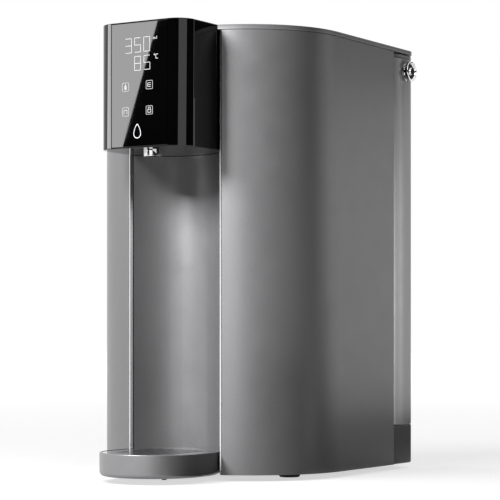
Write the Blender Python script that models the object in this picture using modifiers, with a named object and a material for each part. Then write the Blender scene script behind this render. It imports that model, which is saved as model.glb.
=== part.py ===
"""Countertop water purifier with a removable rear tank, a drip tray and a front tap head.

Metres, +Z up. The front faces -Y and +X is on the viewer's right. The origin is on the
surface that the purifier stands on, at the centre of its plan.
"""

import math

import bmesh
import bpy
from mathutils import Matrix, Vector

# Driving sizes of the body
overall_height = 0.400
body_width = 0.234
foot_height = 0.005
nose_depth = 0.0995
nose_exponent_share = 2.2
rear_reach = 0.150
panel_rear_reach = 0.104
panel_wall = 0.0025
lid_thickness = 0.0042
seam_gap = 0.0005
fit_gap = 0.0003
inner_gap = 0.0005
cut_overrun = 0.006
weld_distance = 0.00001

# Driving sizes of the cup bay, the tap head and the tray
bay_radius = 0.0505
mouth_inset = 0.0025
bay_wall = 0.0022
head_height = 0.110
head_reach = 0.1469
head_corner_radius = 0.017
head_wall = 0.0024
spout_setback = 0.0207
tray_height = 0.0205
tray_gap = 0.0013
tray_extension = 0.01325

# Driving sizes of the rear tank
tank_depth = 0.055
tank_wall = 0.0024
tank_front_radius = 0.030
rear_corner_radius = 0.012
pedestal_height = 0.0365
pedestal_setback = 0.0007

# Facet counts
nose_facets = 24
corner_facets = 6
head_corner_facets = 10
round_sides = 32
small_sides = 16

# Places that follow from the driving sizes
body_half = body_width / 2
mouth_half_width = bay_radius - mouth_inset
mouth_share = (mouth_half_width / body_half) ** nose_exponent_share
mouth_reach = nose_depth * (1 - mouth_share) ** (1 / nose_exponent_share)
bay_centre_reach = mouth_reach + math.sqrt(bay_radius**2 - mouth_half_width**2)
tray_radius = bay_radius - tray_gap
overall_depth = rear_reach + bay_centre_reach + tray_extension + tray_radius
rear_y = overall_depth / 2
nose_y = rear_y - rear_reach
body_bottom = foot_height
lid_bottom = overall_height - lid_thickness
panel_top = lid_bottom - seam_gap
panel_rear_y = nose_y + panel_rear_reach
bay_y = nose_y - bay_centre_reach
head_front_y = nose_y - head_reach
head_bottom = overall_height - head_height
spout_y = head_front_y + spout_setback
inner_half = body_half - panel_wall - inner_gap
inner_depth = nose_depth - panel_wall - inner_gap
tank_front_y = rear_y - tank_depth
tank_half = body_half - pedestal_setback
pedestal_top = body_bottom + pedestal_height


# Scene and material helpers
def clear_scene():
    for item in list(bpy.data.objects):
        bpy.data.objects.remove(item, do_unlink=True)


def new_collection(name):
    group = bpy.data.collections.new(name)
    bpy.context.scene.collection.children.link(group)
    return group


def material(name, colour, roughness, metallic):
    made = bpy.data.materials.new(name)
    made.use_nodes = True
    shader = made.node_tree.nodes["Principled BSDF"]
    shader.inputs["Base Color"].default_value = (*colour, 1.0)
    shader.inputs["Roughness"].default_value = roughness
    shader.inputs["Metallic"].default_value = metallic
    made.diffuse_color = (*colour, 1.0)
    return made


clear_scene()
parts = new_collection("countertop_water_purifier")
tools = new_collection("cutters")

graphite = material("graphite_shell", (0.16, 0.16, 0.165), 0.38, 0.6)
bright_edge = material("bright_edge", (0.78, 0.78, 0.79), 0.2, 1.0)
black_gloss = material("black_gloss", (0.012, 0.012, 0.013), 0.08, 0.0)
chrome = material("chrome", (0.8, 0.8, 0.8), 0.08, 1.0)
dark_plastic = material("dark_plastic", (0.05, 0.05, 0.052), 0.5, 0.0)
white_plastic = material("white_plastic", (0.75, 0.75, 0.74), 0.45, 0.0)
rubber = material("rubber", (0.02, 0.02, 0.02), 0.8, 0.0)
steel = material("steel", (0.55, 0.55, 0.56), 0.3, 1.0)
board_green = material("board_green", (0.02, 0.14, 0.06), 0.5, 0.0)
hose_white = material("hose_white", (0.8, 0.82, 0.84), 0.4, 0.0)


# Object helpers
def place(name, mesh, finish, location=(0, 0, 0)):
    item = bpy.data.objects.new(name, mesh)
    parts.objects.link(item)
    item.location = location
    if finish is not None:
        mesh.materials.clear()
        mesh.materials.append(finish)
    return item


def as_tool(item):
    parts.objects.unlink(item)
    tools.objects.link(item)
    item.hide_render = True
    item.display_type = "WIRE"
    return item


def boolean(item, other, operation):
    step = item.modifiers.new(operation.lower(), "BOOLEAN")
    step.operation = operation
    step.solver = "EXACT"
    step.object = other


def cut(item, *cutters):
    for cutter in cutters:
        boolean(item, as_tool(cutter), "DIFFERENCE")


def join(item, *pieces):
    for piece in pieces:
        boolean(item, as_tool(piece), "UNION")


def round_edges(item, width, segments=2):
    step = item.modifiers.new("rounding", "BEVEL")
    step.width = width
    step.segments = segments
    step.limit_method = "ANGLE"
    step.angle_limit = math.radians(40)


def box(name, low, high, finish=None, rounding=0.0, segments=2):
    low = Vector(low)
    high = Vector(high)
    mesh = bpy.data.meshes.new(name)
    grid = bmesh.new()
    bmesh.ops.create_cube(grid, size=1.0, matrix=Matrix.Diagonal((*(high - low), 1.0)))
    grid.to_mesh(mesh)
    grid.free()
    item = place(name, mesh, finish, (low + high) / 2)
    if rounding:
        round_edges(item, rounding, segments)
    return item


def turn_to(axis):
    return Vector((0, 0, 1)).rotation_difference(Vector(axis)).to_matrix().to_4x4()


def rod(name, radius, start, end, finish=None, sides=None):
    start = Vector(start)
    end = Vector(end)
    length = (end - start).length
    mesh = bpy.data.meshes.new(name)
    grid = bmesh.new()
    bmesh.ops.create_cone(
        grid,
        cap_ends=True,
        segments=sides or round_sides,
        radius1=radius,
        radius2=radius,
        depth=length,
    )
    bmesh.ops.transform(grid, matrix=turn_to(end - start), verts=grid.verts)
    grid.to_mesh(mesh)
    grid.free()
    mesh.shade_smooth()
    mesh.set_sharp_from_angle(angle=math.radians(35))
    return place(name, mesh, finish, (start + end) / 2)


def turned(name, profile, location, finish=None, axis=(0, 0, 1), sides=None, closed=False):
    """A profile of (radius, height) points, from the top down its outer side."""
    mesh = bpy.data.meshes.new(name)
    points = [(radius, 0, height) for radius, height in profile]
    edges = [(n, n + 1) for n in range(len(points) - 1)]
    if closed:
        edges.append((len(points) - 1, 0))
    mesh.from_pydata(points, edges, [])
    item = place(name, mesh, finish, location)
    item.rotation_euler = turn_to(axis).to_euler()
    step = item.modifiers.new("turning", "SCREW")
    step.steps = sides or round_sides
    step.render_steps = step.steps
    step.use_merge_vertices = True
    step.merge_threshold = weld_distance
    step.use_smooth_shade = True
    return item


def mesh_from_curve(item, finish):
    name = item.name
    graph = bpy.context.evaluated_depsgraph_get()
    mesh = bpy.data.meshes.new_from_object(item.evaluated_get(graph))
    grid = bmesh.new()
    grid.from_mesh(mesh)
    bmesh.ops.remove_doubles(grid, verts=grid.verts, dist=weld_distance)
    grid.to_mesh(mesh)
    grid.free()
    matrix = item.matrix_world.copy()
    bpy.data.objects.remove(item, do_unlink=True)
    made = place(name, mesh, finish)
    made.name = name
    made.matrix_world = matrix
    return made


def merge_flat_faces(mesh):
    grid = bmesh.new()
    grid.from_mesh(mesh)
    bmesh.ops.dissolve_limit(
        grid, angle_limit=math.radians(0.5), verts=grid.verts, edges=grid.edges
    )
    grid.to_mesh(mesh)
    grid.free()


def flat(name, outline, bottom, top, finish=None, rounding=0.0, segments=1):
    """An outline in plan, extruded from one height to another."""
    shape = bpy.data.curves.new(name, "CURVE")
    shape.dimensions = "2D"
    shape.fill_mode = "BOTH"
    shape.extrude = (top - bottom) / 2
    line = shape.splines.new("POLY")
    line.points.add(len(outline) - 1)
    for point, (x, y) in zip(line.points, outline):
        point.co = (x, y, 0, 1)
    line.use_cyclic_u = True
    item = bpy.data.objects.new(name, shape)
    parts.objects.link(item)
    item.location = (0, 0, (top + bottom) / 2)
    bpy.context.view_layer.update()
    made = mesh_from_curve(item, finish)
    merge_flat_faces(made.data)
    if rounding:
        round_edges(made, rounding, segments)
    return made


def edge_profile(bottom, top, low_radius, high_radius, facets=3):
    """(inset, height) pairs up an upright side, round a lower and an upper edge."""
    pairs = []
    for n in range(facets + 1):
        angle = math.pi / 2 * n / facets
        pairs.append((low_radius * (1 - math.sin(angle)), bottom + low_radius * (1 - math.cos(angle))))
    for n in range(facets + 1):
        angle = math.pi / 2 * n / facets
        pairs.append((high_radius * (1 - math.cos(angle)), top - high_radius * (1 - math.sin(angle))))
    return pairs


def stacked(name, outline_of, profile, finish=None):
    """One outline at each (inset, height) of a profile, skinned from the bottom up and capped."""
    mesh = bpy.data.meshes.new(name)
    grid = bmesh.new()
    rings = [[grid.verts.new((x, y, z)) for x, y in outline_of(inset)] for inset, z in profile]
    for low, high in zip(rings, rings[1:]):
        for k in range(len(low)):
            after = (k + 1) % len(low)
            grid.faces.new((low[k], low[after], high[after], high[k]))
    grid.faces.new(list(reversed(rings[0])))
    grid.faces.new(rings[-1])
    grid.to_mesh(mesh)
    grid.free()
    mesh.shade_smooth()
    mesh.set_sharp_from_angle(angle=math.radians(35))
    return place(name, mesh, finish)


def wall(name, path, bottom, top, thickness, side, finish):
    """An open path in plan raised into a wall; side is 1 or -1 for where its thickness goes."""
    mesh = bpy.data.meshes.new(name)
    grid = bmesh.new()
    points = [grid.verts.new((x, y, bottom)) for x, y in path]
    edges = [grid.edges.new(pair) for pair in zip(points, points[1:])]
    raised = bmesh.ops.extrude_edge_only(grid, edges=edges)["geom"]
    tops = [part for part in raised if isinstance(part, bmesh.types.BMVert)]
    bmesh.ops.translate(grid, vec=(0, 0, top - bottom), verts=tops)
    grid.to_mesh(mesh)
    grid.free()
    mesh.shade_smooth()
    item = place(name, mesh, finish)
    step = item.modifiers.new("thickness", "SOLIDIFY")
    step.thickness = thickness
    step.offset = side
    step.use_even_offset = True
    return item


def smooth_route(points, steps=3):
    """Points along a smooth curve through the given ones, straight at its two ends."""
    points = [Vector(point) for point in points]
    route = [points[0]]
    for a, b, c, d in zip(points, points[1:], points[2:], points[3:]):
        for k in range(steps):
            t = k / steps
            route.append(
                0.5 * (2 * b + (c - a) * t + (2 * a - 5 * b + 4 * c - d) * t**2
                       + (3 * b - a - 3 * c + d) * t**3)
            )
    return route + points[-2:]


def tube(name, points, radius, finish):
    shape = bpy.data.curves.new(name, "CURVE")
    shape.dimensions = "3D"
    shape.bevel_depth = radius
    shape.bevel_resolution = 2
    shape.use_fill_caps = True
    line = shape.splines.new("POLY")
    line.points.add(len(points) - 1)
    for point, place_of in zip(line.points, points):
        point.co = (*place_of, 1)
    item = bpy.data.objects.new(name, shape)
    parts.objects.link(item)
    bpy.context.view_layer.update()
    return mesh_from_curve(item, finish)


# Plan outlines
def nose_arc(start_x, half, depth):
    """Points on the right half of the rounded front, from start_x to the side plane."""
    first = math.asin((start_x / half) ** (nose_exponent_share / 2))
    points = []
    for n in range(nose_facets + 1):
        angle = first + (math.pi / 2 - first) * n / nose_facets
        x = half * math.sin(angle) ** (2 / nose_exponent_share)
        y = nose_y - depth * max(0, math.cos(angle)) ** (2 / nose_exponent_share)
        points.append((x, y))
    return points


def mirrored(points):
    return [(-x, y) for x, y in reversed(points)]


def corner(centre_x, centre_y, radius, start_degrees, end_degrees, facets=None):
    facets = facets or corner_facets
    points = []
    for n in range(facets + 1):
        angle = math.radians(start_degrees + (end_degrees - start_degrees) * n / facets)
        points.append((centre_x + radius * math.cos(angle), centre_y + radius * math.sin(angle)))
    return points


def whole_outline(inset):
    """The body's outline in plan with its rear corners, counter-clockwise."""
    half = body_half - inset
    radius = rear_corner_radius - inset
    rear = rear_y - inset
    right = nose_arc(half * 0.02, half, nose_depth - inset)
    right += corner(half - radius, rear - radius, radius, 0, 90)
    return right + mirrored(right)


def tank_outline(inset):
    half = tank_half - inset
    front_radius = tank_front_radius - inset
    radius = rear_corner_radius - inset
    front = tank_front_y + inset
    rear = rear_y - inset
    right = corner(half - front_radius, front + front_radius, front_radius, -90, 0)
    right += corner(half - radius, rear - radius, radius, 0, 90)
    return right + mirrored(right)


def bay_arc(radius, end_y, facets=18):
    """Points on the bay's curved back, from its left end to its right end."""
    end_angle = math.acos((end_y - bay_y) / radius)
    points = []
    for n in range(facets + 1):
        angle = -end_angle + 2 * end_angle * n / facets
        points.append((radius * math.sin(angle), bay_y + radius * math.cos(angle)))
    return points


def stadium(half, front_centre_y, rear_centre_y):
    """A tray outline: two half circles joined by straight sides."""
    front = corner(0, front_centre_y, half, 180, 360, 24)
    rear = corner(0, rear_centre_y, half, 0, 180, 14)
    return front + rear


# Side panels that wrap round from the cup bay's mouth to the rear, each with a bright front edge
trim_width = 0.0016
trim_depth = 0.0034
panel_start = mouth_half_width + trim_width + fit_gap
panel_path = nose_arc(panel_start, body_half, nose_depth) + [(body_half, panel_rear_y)]
wall("side_panel_right", panel_path, body_bottom, panel_top, panel_wall, 1, graphite)
wall("side_panel_left", mirrored(panel_path), body_bottom, panel_top, panel_wall, 1, graphite)
front_point = Vector(panel_path[0])
along = (Vector(panel_path[1]) - front_point).normalized()
trim_path = [tuple(front_point - along * reach) for reach in (fit_gap + trim_width, fit_gap)]
trim_back_y = trim_path[1][1] + trim_depth * along.x
trim_inner_x = trim_path[0][0] - trim_depth * along.y
trim_rounding = 0.0003
for label, path in (("right", trim_path), ("left", mirrored(trim_path))):
    trim = wall("edge_trim_" + label, path, body_bottom, panel_top, trim_depth, 1, bright_edge)
    round_edges(trim, trim_rounding, 1)

# Curved back wall of the cup bay, with a window for the tray's tongue
tongue_half = 0.014
tongue_length = 0.0085
tongue_thickness = 0.005
tongue_clearance = 0.0006
base_thickness = 0.0035
base_top = body_bottom + base_thickness
tongue_bottom = base_top + 2 * fit_gap
bay_end_y = trim_back_y + fit_gap
bay_path = bay_arc(bay_radius, bay_end_y)
bay_top = head_bottom - fit_gap
bay_back = wall("bay_back_wall", bay_path, body_bottom, bay_top, bay_wall, 1, graphite)
cut(
    bay_back,
    box(
        "tongue_window",
        (-tongue_half - tongue_clearance, bay_y, tongue_bottom - tongue_clearance),
        (
            tongue_half + tongue_clearance,
            bay_y + bay_radius + bay_wall + cut_overrun,
            tongue_bottom + tongue_thickness + tongue_clearance,
        ),
    ),
)

# Base plate inside the panels, with intake slots, and four rubber feet under it
base_half = inner_half
base_front = nose_arc(mouth_half_width, base_half, inner_depth)
base_front = [point for point in base_front if point[1] > bay_end_y + inner_gap]
base_rear_y = rear_y - panel_wall
outline = base_front + [(base_half, rear_y - rear_corner_radius)]
rear_corner = rear_corner_radius - panel_wall
outline += corner(base_half - rear_corner, base_rear_y - rear_corner, rear_corner, 20, 90)
outline += mirrored(outline)
bay_outer = bay_radius + bay_wall + fit_gap
outline += bay_arc(bay_outer, bay_end_y + inner_gap)
base = flat("base_plate", outline, body_bottom, base_top, dark_plastic)
slot_width = 0.003
slot_length = 0.036
slot_pitch = 0.0075
slot_count = 6
slots_y = nose_y + base_half * 0.2
for n in range(slot_count):
    x = (n - (slot_count - 1) / 2) * slot_pitch
    cut(
        base,
        box(
            "intake_slot_%d" % (n + 1),
            (x - slot_width / 2, slots_y, body_bottom - cut_overrun),
            (x + slot_width / 2, slots_y + slot_length, base_top + cut_overrun),
        ),
    )
screw_well_radius = 0.0035
screw_well_depth = 0.0015
screw_shares = ((-0.86, 0.10), (0.86, 0.10), (-0.86, 0.92), (0.86, 0.92))
for n, (share_x, share_y) in enumerate(screw_shares):
    x = base_half * share_x
    y = nose_y + (base_rear_y - nose_y) * share_y
    cut(
        base,
        rod(
            "base_screw_well_%d" % (n + 1),
            screw_well_radius,
            (x, y, body_bottom - cut_overrun),
            (x, y, body_bottom + screw_well_depth),
            sides=small_sides,
        ),
    )
foot_radius = 0.0095
foot_rounding = 0.001
foot_inset = 0.041
front_foot_setback = 0.020
foot_places = {
    "foot_front_left": (-body_half + foot_inset, nose_y - front_foot_setback),
    "foot_front_right": (body_half - foot_inset, nose_y - front_foot_setback),
    "foot_rear_left": (-body_half + foot_inset, rear_y - foot_inset + foot_radius),
    "foot_rear_right": (body_half - foot_inset, rear_y - foot_inset + foot_radius),
}
for name, (x, y) in foot_places.items():
    foot = rod(name, foot_radius, (x, y, 0), (x, y, body_bottom - fit_gap), rubber, 24)
    round_edges(foot, foot_rounding, 1)

# Places of the filter, left, and of the divider beside it
filter_radius = 0.046
cup_wall = 0.004
cup_gap = 0.0005
cup_radius = filter_radius + cup_gap + cup_wall
filter_side_gap = 0.0055
filter_rear_gap = 0.0075
divider_gap = 0.0075
divider_thickness = 0.0025
filter_x = cup_radius + filter_side_gap - inner_half
divider_x = filter_x + cup_radius + divider_gap
divider_right = divider_x + divider_thickness

# Bulkhead between the works and the tank, with holes for the two docking sockets
bulkhead_thickness = 0.0025
tank_front_gap = 0.003
bulkhead_rear_y = tank_front_y - tank_front_gap
bulkhead_front_y = bulkhead_rear_y - bulkhead_thickness
filter_y = bulkhead_front_y - cup_radius - filter_rear_gap
deck_thickness = 0.0025
lid_rib_depth = 0.004
deck_top = lid_bottom - lid_rib_depth - 2 * fit_gap - seam_gap
deck_bottom = deck_top - deck_thickness
bulkhead = box(
    "bulkhead",
    (-inner_half, bulkhead_front_y, base_top + fit_gap),
    (inner_half, bulkhead_rear_y, deck_bottom - fit_gap),
    dark_plastic,
)
bulkhead_rib_depth = 0.0012
bulkhead_rib_width = 0.0030
bulkhead_rib_shares = (-0.72, -0.36, 0.0, 0.52)
for n, share in enumerate(bulkhead_rib_shares):
    x = inner_half * share
    join(
        bulkhead,
        box(
            "bulkhead_rib_%d" % (n + 1),
            (x - bulkhead_rib_width / 2, bulkhead_front_y + bulkhead_thickness / 2, pedestal_top),
            (
                x + bulkhead_rib_width / 2,
                bulkhead_rear_y + bulkhead_rib_depth,
                deck_bottom - pedestal_height,
            ),
        ),
    )
socket_bore = 0.0083
socket_radius = 0.0115
socket_length = 0.016
socket_floor = 0.004
socket_height = 0.100
socket_drain_offset = 0.0175
socket_raw_inset = 0.016
socket_drain_x = divider_right + socket_drain_offset
socket_raw_x = inner_half - socket_raw_inset
port_radius = 0.0080
nipple_radius = 0.0042
nipple_bore = 0.0022
nipple_length = 0.006
socket_places = {"dock_socket_drain": socket_drain_x, "dock_socket_raw": socket_raw_x}
for name, x in socket_places.items():
    cut(
        bulkhead,
        rod(
            name + "_hole",
            socket_bore,
            (x, bulkhead_front_y - cut_overrun, socket_height),
            (x, bulkhead_rear_y + cut_overrun, socket_height),
        ),
    )
    reach = socket_length - socket_floor
    turned(
        name,
        [
            (nipple_bore, socket_length + nipple_length),
            (nipple_radius, socket_length + nipple_length),
            (nipple_radius, socket_length),
            (socket_radius, socket_length),
            (socket_radius, 0),
            (socket_bore, 0),
            (socket_bore, reach),
            (nipple_bore, reach),
        ],
        (x, bulkhead_front_y - fit_gap, socket_height),
        white_plastic,
        (0, -1, 0),
        20,
        True,
    )

# Top deck under the lid, open over the filter and round the head's rear
filter_hole_gap = 0.0012
head_half = trim_inner_x - fit_gap
head_rear_y = bay_y + bay_radius + bay_wall + fit_gap
deck_front = nose_arc(mouth_half_width, inner_half, inner_depth)
deck_front = [point for point in deck_front if point[1] > trim_back_y + inner_gap]
deck_outline = deck_front + [(inner_half, bulkhead_rear_y)]
deck_outline += mirrored(deck_outline)
deck = flat("top_deck", deck_outline, deck_bottom, deck_top, dark_plastic)
deck_ring_width = 0.0028
deck_ring_height = 0.0022
join(
    deck,
    rod(
        "deck_filter_ring",
        filter_radius + filter_hole_gap + deck_ring_width,
        (filter_x, filter_y, deck_bottom + deck_thickness / 2),
        (filter_x, filter_y, deck_top + deck_ring_height),
        sides=48,
    ),
)
cut(
    deck,
    box(
        "deck_head_notch",
        (-head_half - inner_gap, head_front_y, deck_bottom - cut_overrun),
        (head_half + inner_gap, head_rear_y + inner_gap, deck_top + cut_overrun),
    ),
    rod(
        "deck_filter_hole",
        filter_radius + filter_hole_gap,
        (filter_x, filter_y, deck_bottom - cut_overrun),
        (filter_x, filter_y, deck_top + cut_overrun),
        sides=48,
    ),
)
deck_screw_shares = ((-0.90, 0.93), (0.90, 0.93), (0.90, 0.08))
for n, (share_x, share_y) in enumerate(deck_screw_shares):
    x = inner_half * share_x
    y = nose_y + (bulkhead_rear_y - nose_y) * share_y
    cut(
        deck,
        rod(
            "deck_screw_well_%d" % (n + 1),
            screw_well_radius,
            (x, y, deck_top - screw_well_depth),
            (x, y, deck_top + cut_overrun),
            sides=small_sides,
        ),
    )

# Divider between the filter's side and the side with the works, and a shelf on it
divider_lead = 0.0095
divider_front_y = nose_y - divider_lead
box(
    "divider",
    (divider_x, divider_front_y, base_top + fit_gap),
    (divider_right, bulkhead_front_y - fit_gap, deck_bottom - fit_gap),
    dark_plastic,
)
shelf_height = 0.145
shelf_thickness = 0.0025
shelf_top = shelf_height + shelf_thickness
shelf_setback = 0.002
shelf_front_y = nose_y + shelf_setback
box(
    "service_shelf",
    (divider_right + fit_gap, shelf_front_y, shelf_height),
    (inner_half, bulkhead_front_y - fit_gap, shelf_top),
    dark_plastic,
)

# Tap head that overhangs the bay, with a rebate for its glass and a hole for the spout
glass_thickness = 0.003
glass_margin = 0.0010
glass_half = head_half - head_corner_radius
ledge = 0.004
head_inner_top = panel_top - head_wall
head_low_rounding = 0.0009
head_top_rounding = 0.0008
pocket_front_y = head_front_y + 2 * glass_thickness


def head_corner(inset):
    return corner(
        head_half - head_corner_radius,
        head_front_y + head_corner_radius,
        head_corner_radius - inset,
        -90,
        0,
        head_corner_facets,
    )


def head_plan(inset):
    right = head_corner(inset) + [(head_half - inset, head_rear_y)]
    return right + mirrored(right)


def pocket_plan():
    """The hollow behind the glass: a flat front, then the head's own corners inside its wall."""
    right = [(glass_half, pocket_front_y)]
    right += [point for point in head_corner(head_wall) if point[1] > pocket_front_y + inner_gap]
    right += [(head_half - head_wall, head_rear_y + cut_overrun)]
    return right + mirrored(right)


head = stacked(
    "head_housing",
    head_plan,
    edge_profile(head_bottom, overall_height, head_low_rounding, head_top_rounding, 2),
    black_gloss,
)
spout_hole_radius = 0.0083
cut(
    head,
    flat("head_lid_clearance", whole_outline(-seam_gap), panel_top, overall_height + cut_overrun),
    flat("head_pocket", pocket_plan(), head_bottom + head_wall, head_inner_top),
    box(
        "glass_rebate",
        (
            -glass_half - fit_gap,
            head_front_y - cut_overrun,
            head_bottom + glass_margin - fit_gap,
        ),
        (
            glass_half + fit_gap,
            head_front_y + glass_thickness + fit_gap,
            overall_height - glass_margin + fit_gap,
        ),
    ),
    box(
        "display_window",
        (-glass_half + ledge, head_front_y, head_bottom + glass_margin + ledge),
        (glass_half - ledge, head_front_y + 3 * glass_thickness, head_inner_top - ledge),
    ),
    rod(
        "spout_hole",
        spout_hole_radius,
        (0, spout_y, head_bottom - cut_overrun),
        (0, spout_y, head_bottom + head_wall + cut_overrun),
    ),
)
glass_rounding = 0.0006
box(
    "touch_glass",
    (-glass_half, head_front_y, head_bottom + glass_margin),
    (glass_half, head_front_y + glass_thickness, overall_height - glass_margin),
    black_gloss,
    glass_rounding,
)

# Display board behind the glass, with its light guide reaching through the window
board_thickness = 0.0016
guide_half = glass_half - ledge - fit_gap
guide_top = head_inner_top - ledge - fit_gap
guide_bottom = head_bottom + glass_margin + ledge + fit_gap
display_board_half = glass_half + ledge / 2
board = box(
    "display_board",
    (-display_board_half, pocket_front_y + fit_gap, guide_bottom),
    (display_board_half, pocket_front_y + fit_gap + board_thickness, guide_top + ledge),
    board_green,
)
join(
    board,
    box(
        "light_guide",
        (-guide_half, head_front_y + glass_thickness + 2 * fit_gap, guide_bottom),
        (guide_half, pocket_front_y + fit_gap + board_thickness / 2, guide_top),
    ),
)

# Spout: a chrome collar clamped in the head's floor round an inner nozzle
collar_radius = spout_hole_radius - fit_gap
collar_flange = 0.0105
collar_flange_height = 0.0016
collar_drop = 0.0060
collar_bead = 0.0009
nozzle_radius = 0.0050
nozzle_bore = 0.0020
nozzle_drop = 0.0063
nozzle_rise = 0.016
head_floor_top = head_bottom + head_wall
turned(
    "spout_collar",
    [
        (nozzle_radius + fit_gap, head_floor_top + fit_gap + collar_flange_height),
        (collar_flange, head_floor_top + fit_gap + collar_flange_height),
        (collar_flange, head_floor_top + fit_gap),
        (collar_radius, head_floor_top + fit_gap),
        (collar_radius, head_bottom - collar_drop + collar_bead * 2),
        (collar_radius - collar_bead / 2, head_bottom - collar_drop + collar_bead * 1.5),
        (collar_radius, head_bottom - collar_drop + collar_bead),
        (collar_radius, head_bottom - collar_drop + collar_bead / 2),
        (collar_radius - collar_bead / 2, head_bottom - collar_drop),
        (nozzle_radius + fit_gap, head_bottom - collar_drop),
    ],
    (0, spout_y, 0),
    chrome,
    sides=28,
    closed=True,
)
turned(
    "spout_nozzle",
    [
        (nozzle_bore, head_floor_top + nozzle_rise),
        (nipple_radius, head_floor_top + nozzle_rise),
        (nipple_radius, head_floor_top + nozzle_rise / 2),
        (nozzle_radius + 2 * fit_gap, head_floor_top + nozzle_rise / 2),
        (
            nozzle_radius + 2 * fit_gap,
            head_floor_top + collar_flange_height + 2 * fit_gap,
        ),
        (nozzle_radius, head_floor_top + collar_flange_height + 2 * fit_gap),
        (nozzle_radius, head_bottom - nozzle_drop + nozzle_bore / 4),
        (nozzle_radius - nozzle_bore / 4, head_bottom - nozzle_drop),
        (nozzle_bore, head_bottom - nozzle_drop),
    ],
    (0, spout_y, 0),
    dark_plastic,
    sides=16,
    closed=True,
)

# Lid over the body and the tank, with a locating rail under each side, inside the panels
lid_rounding = 0.0009
lid_low_rounding = 0.0005
lid = stacked(
    "top_lid",
    whole_outline,
    edge_profile(lid_bottom, overall_height, lid_low_rounding, lid_rounding, 2),
    graphite,
)
notch_radius = 0.060
notch_depth_share = 0.55
notch_sides = 48
cut(
    lid,
    rod(
        "lid_finger_notch",
        notch_radius,
        (0, rear_y + notch_radius - lid_thickness, lid_bottom - cut_overrun),
        (0, rear_y + notch_radius - lid_thickness, lid_bottom + lid_thickness * notch_depth_share),
        sides=notch_sides,
    ),
)
rail_width = 0.002
for side, label in ((1, "right"), (-1, "left")):
    low_x, high_x = sorted((side * (inner_half - fit_gap), side * (inner_half - fit_gap - rail_width)))
    box(
        "lid_rail_" + label,
        (low_x, nose_y, lid_bottom - lid_rib_depth),
        (high_x, bulkhead_front_y, lid_bottom - fit_gap),
        graphite,
        fit_gap,
        1,
    )

# Filter: a cup on the base and a cartridge that twists into it and lifts out of the deck
cup_height = 0.034
cup_depth = 0.022
cup_bottom = base_top + fit_gap
hose_radius = 0.0032
cup_port_shares = (-0.30, 0.40)
cup_port_radius = 0.0045
cup_port_reach = 0.006
cup_port_height = cup_bottom + (cup_height - cup_depth) * 0.5
cup = turned(
    "filter_cup",
    [
        (0, cup_bottom + cup_height - cup_depth),
        (filter_radius + cup_gap, cup_bottom + cup_height - cup_depth),
        (filter_radius + cup_gap, cup_bottom + cup_height),
        (cup_radius, cup_bottom + cup_height),
        (cup_radius, cup_bottom),
        (0, cup_bottom),
    ],
    (filter_x, filter_y, 0),
    white_plastic,
)
cup_port_y = filter_y - cup_radius - cup_port_reach
cup_ports = []
for share in cup_port_shares:
    x = filter_x + share * cup_radius
    cup_ports.append((x, cup_port_y, cup_port_height))
    join(
        cup,
        rod(
            "cup_port_%d" % len(cup_ports),
            cup_port_radius,
            (x, cup_port_y, cup_port_height),
            (x, filter_y - cup_radius / 2, cup_port_height),
            sides=small_sides,
        ),
    )
cartridge_bottom = cup_bottom + cup_height - cup_depth + fit_gap
cartridge_lid_gap = 0.0018
cartridge_top = lid_bottom - cartridge_lid_gap
grip_height = 0.009
grip_thickness = 0.007
cap_height = 0.015
cap_base = cartridge_top - grip_height - cap_height
shoulder_height = 0.030
neck_radius = 0.032
cap_radius = 0.042
filter_rounding = 0.003
cartridge = turned(
    "filter_cartridge",
    [
        (0, cap_base + cap_height),
        (cap_radius - filter_rounding, cap_base + cap_height),
        (cap_radius, cap_base + cap_height - filter_rounding),
        (cap_radius, cap_base),
        (neck_radius, cap_base),
        (neck_radius, cap_base - shoulder_height / 3),
        (filter_radius - filter_rounding * 2, cap_base - shoulder_height * 0.8),
        (filter_radius, cap_base - shoulder_height),
        (filter_radius, cartridge_bottom + filter_rounding),
        (filter_radius - filter_rounding, cartridge_bottom),
        (0, cartridge_bottom),
    ],
    (filter_x, filter_y, 0),
    white_plastic,
    sides=36,
)
join(
    cartridge,
    box(
        "filter_grip",
        (
            -cap_radius + filter_rounding,
            -grip_thickness / 2,
            cap_base + cap_height / 2,
        ),
        (cap_radius - filter_rounding, grip_thickness / 2, cartridge_top),
    ),
)
bpy.data.objects["filter_grip"].location += Vector((filter_x, filter_y, 0))
cap_rib_count = 12
cap_rib_radius = 0.0022
cap_rib_share = 0.985
for n in range(cap_rib_count):
    angle = 2 * math.pi * n / cap_rib_count
    x = filter_x + cap_radius * cap_rib_share * math.cos(angle)
    y = filter_y + cap_radius * cap_rib_share * math.sin(angle)
    join(
        cartridge,
        rod(
            "filter_cap_rib_%d" % (n + 1),
            cap_rib_radius,
            (x, y, cap_base),
            (x, y, cap_base + cap_height - filter_rounding),
            sides=8,
        ),
    )

# Room for the works, right of the divider, and each work's shares of its width, depth and height
room_width = inner_half - divider_right
room_depth = bulkhead_front_y - nose_y
lower_room = shelf_height - base_top
upper_room = deck_bottom - shelf_top

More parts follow.
